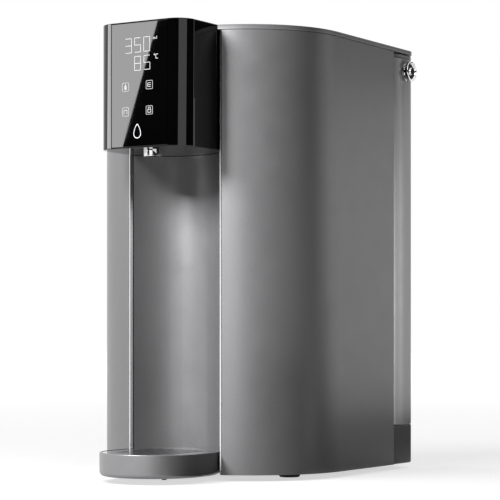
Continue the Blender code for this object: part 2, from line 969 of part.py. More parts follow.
# Booster pump on a rubber pad and a mount plate
pump_place_shares = (0.471, 0.497)
pump_size_shares = (0.233, 0.290)
pump_x = divider_right + room_width * pump_place_shares[0]
pump_y = nose_y + room_depth * pump_place_shares[1]
pump_half_x = room_width * pump_size_shares[0]
pump_half_y = room_depth * pump_size_shares[1]
pump_rounding = 0.003
pad_share = 0.885
pad_height = 0.005
mount_share = 1.155
mount_thickness = 0.002
mount_bottom = base_top + fit_gap
pad_bottom = mount_bottom + mount_thickness + fit_gap
pump_bottom = pad_bottom + pad_height + fit_gap
pump_height_share = 0.33
motor_radius_share = 0.79
motor_length_share = 0.44
pump_head_height = lower_room * pump_height_share
motor_radius = pump_half_x * motor_radius_share
motor_length = lower_room * motor_length_share
motor_bottom = pump_bottom + pump_head_height + fit_gap
box(
    "pump_mount",
    (pump_x - pump_half_x * mount_share, pump_y - pump_half_y * mount_share, mount_bottom),
    (
        pump_x + pump_half_x * mount_share,
        pump_y + pump_half_y * mount_share,
        mount_bottom + mount_thickness,
    ),
    steel,
)
box(
    "pump_pad",
    (pump_x - pump_half_x * pad_share, pump_y - pump_half_y * pad_share, pad_bottom),
    (pump_x + pump_half_x * pad_share, pump_y + pump_half_y * pad_share, pad_bottom + pad_height),
    rubber,
)
pump = box(
    "pump_head",
    (pump_x - pump_half_x, pump_y - pump_half_y, pump_bottom),
    (pump_x + pump_half_x, pump_y + pump_half_y, pump_bottom + pump_head_height),
    dark_plastic,
    pump_rounding,
)
pump_port_radius = 0.0045
pump_port_length = 0.006
pump_port_height = pump_bottom + pump_head_height * 0.55
pump_front_y = pump_y - pump_half_y
pump_in_x = pump_x + pump_half_x / 2
pump_out_x = pump_x - pump_half_x / 2
pump_groove = 0.0012
pump_groove_height = 0.0020
pump_groove_shares = (0.28, 0.80)
for label, x in (("in", pump_in_x), ("out", pump_out_x)):
    join(
        pump,
        rod(
            "pump_port_" + label,
            pump_port_radius,
            (x, pump_front_y - pump_port_length, pump_port_height),
            (x, pump_y, pump_port_height),
            sides=small_sides,
        ),
    )
for n, share in enumerate(pump_groove_shares):
    z = pump_bottom + pump_head_height * share
    groove = box(
        "pump_groove_%d" % (n + 1),
        (pump_x - pump_half_x - cut_overrun, pump_y - pump_half_y - cut_overrun, z),
        (pump_x + pump_half_x + cut_overrun, pump_y + pump_half_y + cut_overrun, z + pump_groove_height),
    )
    cut(
        groove,
        box(
            "pump_core_%d" % (n + 1),
            (pump_x - pump_half_x + pump_groove, pump_y - pump_half_y + pump_groove, z - cut_overrun),
            (
                pump_x + pump_half_x - pump_groove,
                pump_y + pump_half_y - pump_groove,
                z + pump_groove_height + cut_overrun,
            ),
        ),
    )
    cut(pump, groove)
motor_neck = 0.012
motor_neck_height = 0.004
turned(
    "pump_motor",
    [
        (0, motor_bottom + motor_length + motor_neck_height),
        (motor_neck / 2, motor_bottom + motor_length + motor_neck_height),
        (motor_neck / 2, motor_bottom + motor_length),
        (motor_radius - pump_rounding / 2, motor_bottom + motor_length),
        (motor_radius, motor_bottom + motor_length - pump_rounding / 2),
        (motor_radius, motor_bottom + motor_length * 0.80),
        (motor_radius - pump_groove, motor_bottom + motor_length * 0.80),
        (motor_radius - pump_groove, motor_bottom + motor_length * 0.10),
        (motor_radius, motor_bottom + motor_length * 0.10),
        (motor_radius, motor_bottom),
        (0, motor_bottom),
    ],
    (pump_x, pump_y, 0),
    steel,
    sides=24,
)

# Inlet and waste valves: a valve body with its coil on top and a hose stub at the front
valve_place_share = 0.8475
valve_size_shares = (0.0985, 0.145)
valve_half = room_width * valve_size_shares[0]
valve_depth_half = room_depth * valve_size_shares[1]
valve_body_height = 0.020
coil_share = 0.865
coil_radius = valve_half * coil_share
coil_height = 0.022
valve_x = divider_right + room_width * valve_place_share
stub_radius = 0.0045
stub_length = 0.005
waste_valve_setback = 0.016
valve_places = {"inlet_valve": pump_y, "waste_valve": nose_y - waste_valve_setback}
valve_bottom = base_top + fit_gap
valve_top = valve_bottom + valve_body_height + coil_height
stub_height = valve_bottom + valve_body_height / 2
for name, y in valve_places.items():
    valve = box(
        name,
        (valve_x - valve_half, y - valve_depth_half, valve_bottom),
        (valve_x + valve_half, y + valve_depth_half, valve_bottom + valve_body_height),
        white_plastic,
    )
    join(
        valve,
        rod(
            name + "_coil",
            coil_radius,
            (valve_x, y, valve_bottom + valve_body_height / 2),
            (valve_x, y, valve_top),
            sides=20,
        ),
        rod(
            name + "_stub",
            stub_radius,
            (valve_x, y, stub_height),
            (valve_x, y - valve_depth_half - stub_length, stub_height),
            sides=small_sides,
        ),
    )

# Flow sensor standing on the base in front of the pump
sensor_place_share = 0.39
sensor_size_share = 0.112
sensor_lead = 0.008
sensor_x = divider_right + room_width * sensor_place_share
sensor_y = nose_y - sensor_lead
sensor_radius = room_width * sensor_size_share
sensor_height = 0.018
turned(
    "flow_sensor",
    [
        (0, base_top + fit_gap + sensor_height),
        (sensor_radius, base_top + fit_gap + sensor_height),
        (sensor_radius, base_top + fit_gap),
        (0, base_top + fit_gap),
    ],
    (sensor_x, sensor_y, 0),
    dark_plastic,
    sides=28,
)

# Heater and pure-water tank on the shelf
heater_place_shares = (0.2466, 0.665)
heater_radius_share = 0.17
heater_length_share = 0.436
heater_x = divider_right + room_width * heater_place_shares[0]
heater_y = nose_y + room_depth * heater_place_shares[1]
heater_radius = room_width * heater_radius_share
heater_length = upper_room * heater_length_share
heater_cap = 0.009
heater_bottom = shelf_top + fit_gap
heater_top = heater_bottom + heater_length
turned(
    "heater",
    [
        (0, heater_top),
        (heater_radius, heater_top),
        (heater_radius, heater_top - heater_cap),
        (heater_radius - fit_gap * 5, heater_top - heater_cap),
        (heater_radius - fit_gap * 5, heater_bottom + heater_cap),
        (heater_radius, heater_bottom + heater_cap),
        (heater_radius, heater_bottom),
        (0, heater_bottom),
    ],
    (heater_x, heater_y, 0),
    steel,
    sides=28,
)
pure_place_shares = (0.498, 0.0447)
pure_size_shares = (0.448, 0.8715, 0.4653)
pure_low_x = divider_right + room_width * pure_place_shares[0]
pure_front_y = nose_y + room_depth * pure_place_shares[1]
pure_width = room_width * pure_size_shares[0]
pure_depth = room_depth * pure_size_shares[1]
pure_height = upper_room * pure_size_shares[2]
pure_rounding = 0.005
pure_bottom = shelf_top + fit_gap
box(
    "pure_water_tank",
    (pure_low_x, pure_front_y, pure_bottom),
    (pure_low_x + pure_width, pure_front_y + pure_depth, pure_bottom + pure_height),
    white_plastic,
    pure_rounding,
)

# Control board and power supply on the bulkhead
works_drop_share = 0.0756
control_place_share = 0.5336
control_size_shares = (0.4126, 0.3947)
control_low_x = divider_right + room_width * control_place_share
control_width = room_width * control_size_shares[0]
control_height = upper_room * control_size_shares[1]
control_low = deck_bottom - upper_room * works_drop_share - control_height
standoff_radius = 0.0025
standoff_length = 0.005
board_y = bulkhead_front_y - fit_gap - standoff_length
control = box(
    "control_board",
    (control_low_x, board_y - board_thickness, control_low),
    (control_low_x + control_width, board_y, control_low + control_height),
    board_green,
)
standoff_inset = 2 * standoff_radius
for n in range(4):
    x = control_low_x + (standoff_inset if n % 2 else control_width - standoff_inset)
    z = control_low + (standoff_inset if n < 2 else control_height - standoff_inset)
    join(
        control,
        rod(
            "board_standoff_%d" % (n + 1),
            standoff_radius,
            (x, board_y - board_thickness / 2, z),
            (x, bulkhead_front_y - fit_gap, z),
            sides=12,
        ),
    )
relay_size_share = 0.326
relay_size = control_width * relay_size_share
relay_shares = (0.18, 0.50, 0.82)
for n, share in enumerate(relay_shares):
    z = control_low + share * control_height
    x = control_low_x + control_width / 2
    join(
        control,
        box(
            "board_relay_%d" % (n + 1),
            (x - relay_size / 2, board_y - board_thickness / 2 - relay_size, z - relay_size / 2),
            (x + relay_size / 2, board_y - board_thickness / 2, z + relay_size / 2),
        ),
    )
supply_place_share = 0.0673
supply_size_shares = (0.3767, 0.3128, 0.3739)
supply_low_x = divider_right + room_width * supply_place_share
supply_width = room_width * supply_size_shares[0]
supply_depth = room_depth * supply_size_shares[1]
supply_height = upper_room * supply_size_shares[2]
supply_low = deck_bottom - upper_room * works_drop_share - supply_height
supply_rounding = 0.0015
box(
    "power_supply",
    (supply_low_x, bulkhead_front_y - fit_gap - supply_depth, supply_low),
    (supply_low_x + supply_width, bulkhead_front_y - fit_gap, supply_low + supply_height),
    steel,
    supply_rounding,
    1,
)

# Pedestal behind the bulkhead, with the power inlet in its rear wall
pedestal_half = tank_half
pedestal_wall = 0.0020
pedestal_front_y = panel_rear_y + seam_gap
pedestal_low_rounding = 0.0014
pedestal_top_rounding = 0.0006


def pedestal_plan(inset):
    right = [(pedestal_half - inset, pedestal_front_y)]
    right += corner(
        pedestal_half - rear_corner_radius,
        rear_y - rear_corner_radius,
        rear_corner_radius - inset,
        0,
        90,
    )
    return right + mirrored(right)


pedestal = stacked(
    "rear_pedestal",
    pedestal_plan,
    edge_profile(body_bottom, pedestal_top, pedestal_low_rounding, pedestal_top_rounding),
    graphite,
)
inner_radius = rear_corner_radius - pedestal_wall
hollow = corner(
    pedestal_half - rear_corner_radius,
    rear_y - rear_corner_radius,
    inner_radius,
    0,
    90,
)
hollow = [(pedestal_half - pedestal_wall, pedestal_front_y - cut_overrun)] + hollow
hollow += mirrored(hollow)
inlet_side_reach = 0.0443
inlet_x = pedestal_half - inlet_side_reach
inlet_half = 0.0140
inlet_height = 0.020
inlet_low = body_bottom + (pedestal_height - inlet_height) / 2
inlet_depth = 0.021
inlet_shell = 0.0022
inlet_setback = 0.0004
cut(
    pedestal,
    flat("pedestal_hollow", hollow, body_bottom - cut_overrun, pedestal_top - panel_wall),
    box(
        "inlet_hole",
        (inlet_x - inlet_half - fit_gap, rear_y - panel_wall - cut_overrun, inlet_low - fit_gap),
        (
            inlet_x + inlet_half + fit_gap,
            rear_y + cut_overrun,
            inlet_low + inlet_height + fit_gap,
        ),
    ),
)
inlet = box(
    "power_inlet",
    (inlet_x - inlet_half, rear_y - inlet_setback - inlet_depth, inlet_low),
    (inlet_x + inlet_half, rear_y - inlet_setback, inlet_low + inlet_height),
    dark_plastic,
)
cut(
    inlet,
    box(
        "inlet_cavity",
        (
            inlet_x - inlet_half + inlet_shell,
            rear_y - inlet_depth + inlet_shell,
            inlet_low + inlet_shell,
        ),
        (
            inlet_x + inlet_half - inlet_shell,
            rear_y + cut_overrun,
            inlet_low + inlet_height - inlet_shell,
        ),
    ),
)
pin_thickness = 0.002
pin_height = 0.004
pin_length = 0.013
pin_shares = ((-0.5, 0.38), (0.5, 0.38), (0.0, 0.62))
for n, (share_x, share_z) in enumerate(pin_shares):
    x = inlet_x + share_x * inlet_half
    z = inlet_low + share_z * inlet_height
    join(
        inlet,
        box(
            "inlet_pin_%d" % (n + 1),
            (x - pin_thickness / 2, rear_y - inlet_depth, z - pin_height / 2),
            (x + pin_thickness / 2, rear_y - inlet_depth + pin_length, z + pin_height / 2),
        ),
    )

# Hoses between the works, each meeting its neighbours face to face
hose_bend = 0.012
valve_front = valve_depth_half + stub_length + fit_gap
inlet_y = valve_places["inlet_valve"]
waste_y = valve_places["waste_valve"]
socket_end_y = bulkhead_front_y - 2 * fit_gap - socket_length - nipple_length
raw_port = (socket_raw_x, socket_end_y, socket_height)
drain_port = (socket_drain_x, socket_end_y, socket_height)
inlet_top = (valve_x, inlet_y, valve_top + fit_gap)
waste_top = (valve_x, waste_y, valve_top + fit_gap)
inlet_stub = (valve_x, inlet_y - valve_front, stub_height)
pump_in = (pump_in_x, pump_front_y - pump_port_length - fit_gap, pump_port_height)
pump_out = (pump_out_x, pump_front_y - pump_port_length - fit_gap, pump_port_height)
lane_lead = 0.035
front_lane_y = nose_y - lane_lead
cup_feed = (cup_ports[1][0], cup_ports[1][1] - fit_gap, cup_ports[1][2])
cup_pure = (cup_ports[0][0], cup_ports[0][1] - fit_gap, cup_ports[0][2])
pure_in = (pure_low_x + pure_width / 2, pure_front_y - fit_gap, pure_bottom + pure_height * 0.7)
pure_out = (pure_low_x - fit_gap, pure_front_y + hose_bend, pure_bottom + pure_height * 0.15)
heater_in = (heater_x, heater_y - heater_radius - fit_gap, pure_out[2])
heater_out = (heater_x, heater_y, heater_top + fit_gap)
nozzle_in = (0, spout_y, head_floor_top + nozzle_rise + fit_gap)


def shifted(point, x=0.0, y=0.0, z=0.0):
    return (point[0] + x, point[1] + y, point[2] + z)


def between(first, second, share):
    return tuple(a + (b - a) * share for a, b in zip(first, second))


hose_routes = {
    "hose_socket_to_inlet_valve": [
        raw_port,
        shifted(raw_port, y=-hose_bend / 2),
        (valve_x, inlet_y + hose_bend / 4, valve_top + hose_bend * 2),
        shifted(inlet_top, z=hose_bend),
        inlet_top,
    ],
    "hose_inlet_valve_to_pump": [
        inlet_stub,
        shifted(inlet_stub, y=-hose_bend / 2),
        between(shifted(inlet_stub, y=-hose_bend), shifted(pump_in, y=-hose_bend * 1.6), 0.5),
        shifted(pump_in, y=-hose_bend),
        pump_in,
    ],
    "hose_pump_to_filter": [
        pump_out,
        shifted(pump_out, y=-hose_bend),
        (divider_right + hose_bend, divider_front_y, pump_port_height),
        (divider_x, front_lane_y + hose_bend, pump_port_height),
        (cup_feed[0] + hose_bend / 2, front_lane_y + hose_bend / 2, pump_port_height * 0.75),
        shifted(cup_feed, y=-hose_bend / 2),
        cup_feed,
    ],
    "hose_filter_to_pure_tank": [
        cup_pure,
        shifted(cup_pure, y=-hose_bend / 2),
        (cup_pure[0] + hose_bend, front_lane_y, cup_pure[2] + hose_bend * 3),
        (divider_x, front_lane_y, pure_in[2] * 0.6),
        (pure_in[0] * 0.7, front_lane_y + hose_bend / 2, pure_in[2] * 0.93),
        shifted(pure_in, y=-hose_bend),
        pure_in,
    ],
    "hose_pure_tank_to_heater": [
        pure_out,
        shifted(pure_out, x=-hose_bend),
        between(shifted(pure_out, x=-hose_bend * 1.6), shifted(heater_in, y=-hose_bend * 1.2), 0.6),
        shifted(heater_in, y=-hose_bend * 0.7),
        heater_in,
    ],
    "hose_heater_to_spout": [
        heater_out,
        shifted(heater_out, z=hose_bend * 0.8),
        (heater_x * 0.8, nose_y + hose_bend, heater_top + hose_bend * 3),
        (hose_bend / 2, head_rear_y + hose_bend, head_inner_top - hose_bend * 3),
        (0, head_rear_y - hose_bend * 2, head_inner_top - hose_bend * 3),
        (0, spout_y + hose_bend / 3, nozzle_in[2] + hose_bend * 1.6),
        shifted(nozzle_in, z=hose_bend * 0.6),
        nozzle_in,
    ],
    "hose_waste_valve_to_socket": [
        waste_top,
        shifted(waste_top, z=hose_bend),
        (valve_x - hose_bend * 2, waste_y, valve_top + hose_bend * 2.5),
        (pump_x - hose_bend, nose_y + hose_bend / 3, socket_height),
        (socket_drain_x, nose_y + hose_bend * 2, socket_height),
        shifted(drain_port, y=-hose_bend),
        drain_port,
    ],
}
for name, route in hose_routes.items():
    tube(name, smooth_route(route), hose_radius, hose_white)

# Drip tray: an open pan with a ledge, a rear tongue and one small foot
tray_bottom = body_bottom
tray_top = tray_bottom + tray_height
tray_wall = 0.0020
tray_floor = 0.0022
tray_ledge = 0.0022
plate_thickness = 0.0026
tray_low_rounding = 0.0036
tray_rim_rounding = 0.0006
tray_front_centre_y = tray_radius - overall_depth / 2


def tray_plan(inset):
    return stadium(tray_radius - inset, tray_front_centre_y, bay_y)


tray = stacked(
    "drip_tray",
    tray_plan,
    edge_profile(tray_bottom, tray_top, tray_low_rounding, tray_rim_rounding),
    graphite,
)
well_half = tray_radius - tray_wall - tray_ledge
cut(
    tray,
    flat(
        "tray_well",
        stadium(well_half, tray_front_centre_y, bay_y),
        tray_bottom + tray_floor,
        tray_top + cut_overrun,
    ),
    flat(
        "tray_seat",
        stadium(tray_radius - tray_wall, tray_front_centre_y, bay_y),
        tray_top - plate_thickness - fit_gap * 2,
        tray_top + cut_overrun,
    ),
)
tongue_start_y = bay_y + tray_radius
join(
    tray,
    box(
        "tray_tongue",
        (-tongue_half, tongue_start_y - tray_wall, tongue_bottom),
        (tongue_half, tongue_start_y + tongue_length, tongue_bottom + tongue_thickness),
    ),
)
nub_radius = 0.0022
rod(
    "tray_foot",
    nub_radius,
    (0, bay_y, 0),
    (0, bay_y, tray_bottom - fit_gap),
    rubber,
    small_sides,
)

# Drip plate with rows of slots, resting on the tray's ledge
plate_half = tray_radius - tray_wall - fit_gap
plate_top = tray_top - fit_gap
plate = flat(
    "drip_plate",
    stadium(plate_half, tray_front_centre_y, bay_y),
    plate_top - plate_thickness,
    plate_top,
    steel,
)
drip_slot_width = 0.0030
drip_slot_pitch = 0.0090
drip_slot_rows = 7
plate_centre_y = (tray_front_centre_y + bay_y) / 2
drip_slot_margin = 0.011
for n in range(drip_slot_rows):
    x = (n - (drip_slot_rows - 1) / 2) * drip_slot_pitch
    reach = math.sqrt(max(0, plate_half**2 - x**2)) - drip_slot_margin
    cut(
        plate,
        box(
            "drip_slot_%d" % (n + 1),
            (x - drip_slot_width / 2, plate_centre_y - reach, plate_top - plate_thickness - cut_overrun),
            (x + drip_slot_width / 2, plate_centre_y + reach, plate_top + cut_overrun),
        ),
    )

# Rear tank: an open shell with a handle recess across its upper back
tank_bottom = pedestal_top + fit_gap
cover_thickness = 0.0036
cover_top = lid_bottom - seam_gap - fit_gap
tank_top = cover_top - cover_thickness - fit_gap
pivot_inset = 0.0184
pivot_drop = 0.0210
pivot_y = rear_y - pivot_inset
pivot_z = overall_height - pivot_drop
handle_reach = 0.055
handle_tube = 0.0045
grip_radius = 0.0070
eye_radius = 0.0065
eye_width = 0.0070
finger_room = 0.018
ear_width = 0.0118
recess_half = tank_half - ear_width
recess_floor_y = pivot_y - grip_radius - fit_gap * 2
recess_bottom = pivot_z - handle_reach - grip_radius - finger_room
floor_thickness = tank_wall
tank_rounding = 0.0008
tank = stacked(
    "water_tank",
    tank_outline,
    edge_profile(tank_bottom, tank_top, tank_rounding, tank_rounding / 4, 2),
    graphite,
)
lower_cavity_top = recess_bottom - tank_wall
cavity_rear_y = recess_floor_y - tank_wall
front_cavity = corner(
    tank_half - tank_front_radius,
    tank_front_y + tank_front_radius,
    tank_front_radius - tank_wall,
    -90,
    0,
)
front_cavity = [point for point in front_cavity if point[1] < cavity_rear_y]
front_cavity += [(front_cavity[-1][0], cavity_rear_y)]
front_cavity += mirrored(front_cavity)
pin_radius = 0.0030
pin_clearance = 0.00008
eye_clearance = 0.0003
cut(
    tank,
    flat(
        "tank_lower_cavity",
        tank_outline(tank_wall),
        tank_bottom + floor_thickness,
        lower_cavity_top,
    ),
    flat(
        "tank_upper_cavity",
        front_cavity,
        tank_bottom + floor_thickness + cut_overrun,
        tank_top + cut_overrun,
    ),
    box(
        "handle_recess",
        (-recess_half, recess_floor_y, recess_bottom),
        (recess_half, rear_y + cut_overrun, tank_top + cut_overrun),
    ),
    rod(
        "pivot_bore",
        pin_radius + pin_clearance,
        (-tank_half - cut_overrun, pivot_y, pivot_z),
        (tank_half + cut_overrun, pivot_y, pivot_z),
        sides=32,
    ),
)
port_hole = nipple_radius + fit_gap
for name, x in socket_places.items():
    cut(
        tank,
        rod(
            name.replace("dock_socket", "tank_port") + "_hole",
            port_hole,
            (x, tank_front_y - cut_overrun, socket_height),
            (x, tank_front_y + tank_wall + cut_overrun, socket_height),
            sides=20,
        ),
    )
    port_reach = tank_front_gap + bulkhead_thickness + socket_length / 2
    turned(
        name.replace("dock_socket", "tank_port"),
        [
            (nipple_bore, tank_wall * 2),
            (nipple_radius, tank_wall * 2),
            (nipple_radius, -fit_gap),
            (port_radius, -fit_gap),
            (port_radius, -port_reach + fit_gap * 3),
            (port_radius - fit_gap * 3, -port_reach),
            (nipple_bore, -port_reach),
        ],
        (x, tank_front_y, socket_height),
        white_plastic,
        (0, 1, 0),
        20,
        True,
    )

# Tank cover with a plug lip in the tank's mouth and a finger notch
lip_depth = 0.004
lip_width = 0.0020
cover = flat("tank_cover", tank_outline(0), tank_top + fit_gap, cover_top, graphite, fit_gap * 2)
lip_outline = corner(
    tank_half - tank_front_radius,
    tank_front_y + tank_front_radius,
    tank_front_radius - tank_wall - inner_gap,
    -90,
    0,
)
lip_rear_y = cavity_rear_y - inner_gap
lip_outline = [point for point in lip_outline if point[1] < lip_rear_y]
lip_outline += [(lip_outline[-1][0], lip_rear_y)]
lip_outline += mirrored(lip_outline)
join(
    cover,
    flat("cover_lip", lip_outline, tank_top - lip_depth, tank_top + fit_gap + cover_thickness / 2),
)

# Level float on its guide inside the tank
guide_radius = 0.0025
guide_stop = 0.0045
guide_base = 0.009
guide_base_height = 0.0025
float_radius = 0.0125
float_gap = 0.0005
float_bore = guide_radius + float_gap
float_height = 0.016
float_travel = 0.024
float_x = -0.060
float_y = (tank_front_y + rear_y) / 2
guide_bottom_z = tank_bottom + floor_thickness + fit_gap
float_bottom_z = guide_bottom_z + guide_base_height + fit_gap
guide_top_z = float_bottom_z + float_height + float_travel + 2 * fit_gap
turned(
    "float_guide",
    [
        (0, guide_top_z + guide_stop),
        (guide_stop, guide_top_z + guide_stop / 2),
        (guide_stop, guide_top_z),
        (guide_radius, guide_top_z),
        (guide_radius, guide_bottom_z + guide_base_height),
        (guide_base, guide_bottom_z + guide_base_height),
        (guide_base, guide_bottom_z),
        (0, guide_bottom_z),
    ],
    (float_x, float_y, 0),
    white_plastic,
    sides=24,
)
turned(
    "level_float",
    [
        (float_bore, float_bottom_z + float_height),
        (float_radius - fit_gap * 4, float_bottom_z + float_height),
        (float_radius, float_bottom_z + float_height - fit_gap * 4),
        (float_radius, float_bottom_z + fit_gap * 4),
        (float_radius - fit_gap * 4, float_bottom_z),
        (float_bore, float_bottom_z),
    ],
    (float_x, float_y, 0),
    white_plastic,
    sides=28,
    closed=True,
)

# Carrying handle: a bail on an empty at its hinge, with a chrome-capped pin at each end
hinge = bpy.data.objects.new("handle_hinge", None)
parts.objects.link(hinge)
hinge.location = (0, pivot_y, pivot_z)
arm_x = recess_half - fit_gap * 4 - eye_width / 2
bend_radius = 0.012
bail_points = [(arm_x, 0, 0)]
bail_points += [
    (x, 0, z)
    for x, z in corner(arm_x - bend_radius, -handle_reach + bend_radius, bend_radius, 0, -90)
]
bail_points += [(-x, y, z) for x, y, z in reversed(bail_points)]
bail = tube("handle_bail", bail_points, handle_tube, dark_plastic)
grip_half = arm_x - bend_radius - grip_radius
join(
    bail,
    rod(
        "handle_grip",
        grip_radius,
        (-grip_half, 0, -handle_reach),
        (grip_half, 0, -handle_reach),
        sides=16,
    ),
)
for side, label in ((1, "right"), (-1, "left")):
    join(
        bail,
        rod(
            "handle_eye_" + label,
            eye_radius,
            (side * (arm_x - eye_width / 2), 0, 0),
            (side * (arm_x + eye_width / 2), 0, 0),
            sides=20,
        ),
    )
for side, label in ((1, "right"), (-1, "left")):
    cut(
        bail,
        rod(
            "handle_eye_bore_" + label,
            pin_radius + eye_clearance,
            (side * (arm_x - eye_width / 4), 0, 0),
            (side * (arm_x + eye_width), 0, 0),
            sides=16,
        ),
    )
for item in [bail] + [step.object for step in bail.modifiers]:
    item.parent = hinge
cap_disc_radius = 0.0098
cap_disc_thickness = 0.0060
cap_ring_thickness = 0.0012
cap_neck_radius = 0.0078
cap_neck_length = 0.0014
cap_dish = 0.0008
cap_rim = 0.0018
cap_boss_radius = 0.0030
pin_end = arm_x - eye_width / 4 + fit_gap
for side, label in ((1, "right"), (-1, "left")):
    outer = tank_half + fit_gap + cap_disc_thickness
    ring_outer = tank_half + fit_gap + cap_ring_thickness
    knob = turned(
        "pivot_cap_" + label,
        [
            (0, outer - cap_dish / 2),
            (cap_boss_radius, outer - cap_dish / 2),
            (cap_boss_radius + cap_dish, outer - cap_dish * 2),
            (cap_disc_radius - cap_rim - cap_dish, outer - cap_dish * 2),
            (cap_disc_radius - cap_rim, outer - cap_dish / 2),
            (cap_disc_radius - cap_rim + cap_dish / 2, outer),
            (cap_disc_radius - cap_dish, outer),
            (cap_disc_radius - cap_dish / 3, outer - cap_dish / 3),
            (cap_disc_radius, outer - cap_dish),
            (cap_disc_radius, ring_outer + cap_neck_length),
            (cap_neck_radius, ring_outer + cap_neck_length),
            (cap_neck_radius, ring_outer),
            (cap_disc_radius, ring_outer),
            (cap_disc_radius, tank_half + fit_gap),
            (pin_radius, tank_half + fit_gap),
            (pin_radius, pin_end),
            (0, pin_end),
        ],
        (0, 0, 0),
        chrome,
        (side, 0, 0),
        24,
    )
    knob.parent = hinge
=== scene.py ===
import math

import bmesh
import bpy
from mathutils import Matrix, Vector


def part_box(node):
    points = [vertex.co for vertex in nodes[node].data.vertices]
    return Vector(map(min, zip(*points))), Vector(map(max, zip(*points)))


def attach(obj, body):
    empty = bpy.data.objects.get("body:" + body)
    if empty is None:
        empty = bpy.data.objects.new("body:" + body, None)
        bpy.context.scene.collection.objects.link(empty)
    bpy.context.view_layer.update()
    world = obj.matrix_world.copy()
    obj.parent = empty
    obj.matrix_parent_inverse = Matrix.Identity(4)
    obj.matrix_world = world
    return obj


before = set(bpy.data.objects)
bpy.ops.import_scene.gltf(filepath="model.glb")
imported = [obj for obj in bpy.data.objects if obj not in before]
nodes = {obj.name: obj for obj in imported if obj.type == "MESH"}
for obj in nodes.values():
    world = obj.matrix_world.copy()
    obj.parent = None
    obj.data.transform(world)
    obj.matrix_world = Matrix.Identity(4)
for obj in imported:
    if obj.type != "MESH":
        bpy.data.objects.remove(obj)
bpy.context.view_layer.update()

scene = bpy.context.scene

# The photograph's camera, fitted to the object's edges: level, with a vertical shift
PHOTO_SIZE = 500.0
FOCAL_PIXELS = 1922.0
HORIZON_Y = 329.36
CAMERA_PLACE = Vector((0.9596, -1.4988, 0.1328))
CAMERA_AZIMUTH = math.radians(31.857)
SENSOR_WIDTH = 36.0
CLIP_START = 0.05


# Material helpers
class Graph:
    """A node material built from its Principled shader outwards."""

    def __init__(self, name, colour, roughness, metallic=0.0, **values):
        self.material = bpy.data.materials.new(name)
        self.material.use_nodes = True
        self.tree = self.material.node_tree
        self.shader = self.tree.nodes["Principled BSDF"]
        self.shader.inputs["Base Color"].default_value = (*colour, 1.0)
        self.shader.inputs["Roughness"].default_value = roughness
        self.shader.inputs["Metallic"].default_value = metallic
        for key, value in values.items():
            socket = key.replace("_", " ").title().replace("Ior", "IOR")
            self.shader.inputs[socket].default_value = value
        self.place = self.tree.nodes.new("ShaderNodeTexCoord").outputs["Object"]

    def node(self, kind, **settings):
        made = self.tree.nodes.new(kind)
        for key, value in settings.items():
            setattr(made, key, value)
        return made

    def link(self, start, end):
        self.tree.links.new(start, end)

    def scaled(self, scale):
        mapping = self.node("ShaderNodeMapping")
        mapping.inputs["Scale"].default_value = scale
        self.link(self.place, mapping.inputs["Vector"])
        return mapping.outputs["Vector"]

    def noise(self, scale, detail=2.0, roughness=0.5, stretch=(1, 1, 1)):
        made = self.node("ShaderNodeTexNoise")
        made.inputs["Scale"].default_value = scale
        made.inputs["Detail"].default_value = detail
        made.inputs["Roughness"].default_value = roughness
        self.link(self.scaled(stretch), made.inputs["Vector"])
        return made.outputs["Fac"]

    def spread(self, factor, low, high, from_low=0.3, from_high=0.7):
        made = self.node("ShaderNodeMapRange")
        made.inputs["From Min"].default_value = from_low
        made.inputs["From Max"].default_value = from_high
        made.inputs["To Min"].default_value = low
        made.inputs["To Max"].default_value = high
        self.link(factor, made.inputs["Value"])
        return made.outputs["Result"]

    def colours(self, factor, first, second, low=0.35, high=0.65):
        made = self.node("ShaderNodeValToRGB")
        made.color_ramp.elements[0].position = low
        made.color_ramp.elements[0].color = (*first, 1.0)
        made.color_ramp.elements[1].position = high
        made.color_ramp.elements[1].color = (*second, 1.0)
        self.link(factor, made.inputs["Fac"])
        return made.outputs["Color"]

    def paint(self, factor, first, second, low=0.35, high=0.65):
        colour = self.colours(factor, first, second, low, high)
        self.link(colour, self.shader.inputs["Base Color"])

    def roughen(self, factor, low, high):
        self.link(self.spread(factor, low, high), self.shader.inputs["Roughness"])

    def bump(self, factor, strength, distance):
        made = self.node("ShaderNodeBump")
        made.inputs["Strength"].default_value = strength
        made.inputs["Distance"].default_value = distance
        self.link(factor, made.inputs["Height"])
        self.link(made.outputs["Normal"], self.shader.inputs["Normal"])


def satin_grey(name, dark, light, metallic, low, high):
    """Metallic satin paint: fine flakes, and a broad faint unevenness in its gloss."""
    made = Graph(name, light, low, metallic, coat_weight=0.25, coat_roughness=0.22)
    flakes = made.noise(2600, 1.0)
    made.paint(flakes, dark, light, 0.3, 0.7)
    made.roughen(made.noise(55, 3.0), low, high)
    made.bump(flakes, 0.05, 0.00005)
    return made.material


def brushed_metal(name, dark, light, low, high, stretch, strength=0.10):
    """Bare metal with fine lines, which run along the axis that stretch is small on."""
    made = Graph(name, light, low, 1.0)
    lines = made.noise(900, 3.0, 0.6, stretch)
    made.paint(lines, dark, light, 0.25, 0.75)
    made.roughen(lines, low, high)
    made.bump(lines, strength, 0.00006)
    return made.material


def moulded(name, dark, light, low, high, grain=1400, strength=0.16, **values):
    """Plastic or rubber with a moulded grain and slightly uneven colour."""
    made = Graph(name, light, low, **values)
    specks = made.noise(grain, 2.0, 0.6)
    made.paint(made.noise(40, 2.0), dark, light)
    made.roughen(specks, low, high)
    made.bump(specks, strength, 0.00010)
    return made.material


